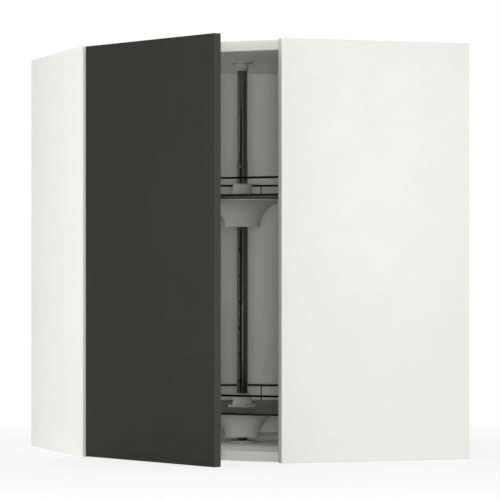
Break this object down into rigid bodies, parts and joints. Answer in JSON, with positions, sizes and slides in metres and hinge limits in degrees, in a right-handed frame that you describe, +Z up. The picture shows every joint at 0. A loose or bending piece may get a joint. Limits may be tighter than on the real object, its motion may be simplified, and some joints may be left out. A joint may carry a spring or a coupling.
{
  "type": "corner carousel cabinet",
  "caption": "Corner wall cabinet with a diagonal hinged door and railed trays that turn on a centre post.",
  "frame": {"origin": "the corner where the two walls meet, level with the cabinet's underside", "axes": "+Z up; the walls are the planes y = 0 and x = 0, and the diagonal front faces -X and -Y alike"},
  "size_m": [0.687, 0.7661, 0.8],
  "materials": {
    "white_board": "satin white melamine board",
    "back_board": "matt white hardboard",
    "door_lacquer": "dark grey satin lacquer",
    "beech": "plain beech",
    "zinc": "bright zinc plate",
    "nickel": "nickel plate",
    "black_steel": "glossy black powder coat",
    "black_wire": "satin black powder coat",
    "tray_grey": "fine grained anthracite plastic",
    "hub_grey": "satin light grey plastic",
    "collar_grey": "satin mid grey plastic",
    "bracket_grey": "satin dark grey plastic",
    "acetal": "waxy natural acetal",
    "bumper": "clear soft rubber"
  },
  "bodies": {
    "cabinet": {"left_side_panel": "white_board", "right_side_panel": "white_board", "top_panel": "white_board", "bottom_panel": "white_board", "back_panel_left": "back_board", "back_panel_right": "back_board", "back_corner_profile": "back_board", "wood_dowels": "beech", "cam_bolts": "zinc", "cam_locks": "zinc", "wall_blocks": "beech", "hanging_brackets": "zinc", "hanging_bracket_screws": "zinc", "hinge_plates": "nickel", "hinge_plate_screws": "zinc", "hinge_arms": "nickel", "hinge_arm_screws": "zinc", "hinge_arm_pins": "nickel", "ceiling_bracket": "bracket_grey", "ceiling_lock_ring": "bracket_grey", "floor_plate": "bracket_grey", "bracket_screws": "zinc", "lower_post_tube": "black_steel", "upper_post_tube": "black_steel", "post_clamp_screw": "zinc", "tray_support_pins": "zinc", "tray_bearing_rings": "acetal"},
    "hinge_outer_links": {"hinge_outer_links": "nickel"},
    "hinge_inner_links": {"hinge_inner_links": "nickel", "hinge_middle_pins": "nickel"},
    "door": {"door_panel": "door_lacquer", "door_bumpers": "bumper", "hinge_cups": "nickel", "hinge_cup_pins": "nickel", "hinge_cup_screws": "zinc"},
    "lower_carousel": {"lower_tray": "tray_grey", "lower_rail": "black_wire", "lower_rail_posts": "black_wire", "lower_hub": "hub_grey", "lower_collar": "collar_grey", "lower_hub_screws": "zinc"},
    "upper_carousel": {"upper_tray": "tray_grey", "upper_rail": "black_wire", "upper_rail_posts": "black_wire", "upper_hub": "hub_grey", "upper_collar": "collar_grey", "upper_hub_screws": "zinc"}
  },
  "joints": [
    {"name": "door_swing", "type": "hinge", "parent": "cabinet", "child": "hinge_outer_links", "pos_m": [-0.622, -0.375, 0.4], "axis": [0, 0, -1], "range_deg": [-24.7, 67.3]},
    {"name": "hinge_link_fold", "type": "hinge", "parent": "hinge_outer_links", "child": "hinge_inner_links", "pos_m": [-0.61579, -0.41657, 0.4], "axis": [0, 0, -1], "range_deg": [-97.6, 35.9]},
    {"name": "hinge_cup_turn", "type": "hinge", "parent": "hinge_inner_links", "child": "door", "pos_m": [-0.66515, -0.40667, 0.4], "axis": [0, 0, -1], "range_deg": [-35.9, 97.6]},
    {"name": "lower_tray_spin", "type": "hinge", "parent": "cabinet", "child": "lower_carousel", "pos_m": [-0.3425, -0.3425, 0.09], "axis": [0, 0, 1], "range_deg": [-360, 360]},
    {"name": "upper_tray_spin", "type": "hinge", "parent": "cabinet", "child": "upper_carousel", "pos_m": [-0.3425, -0.3425, 0.5092], "axis": [0, 0, 1], "range_deg": [-360, 360]}
  ],
  "couplings": [
    {"joint": "hinge_link_fold", "follows": "door_swing", "ratio": -1.45},
    {"joint": "hinge_cup_turn", "follows": "door_swing", "ratio": 1.45}
  ]
}
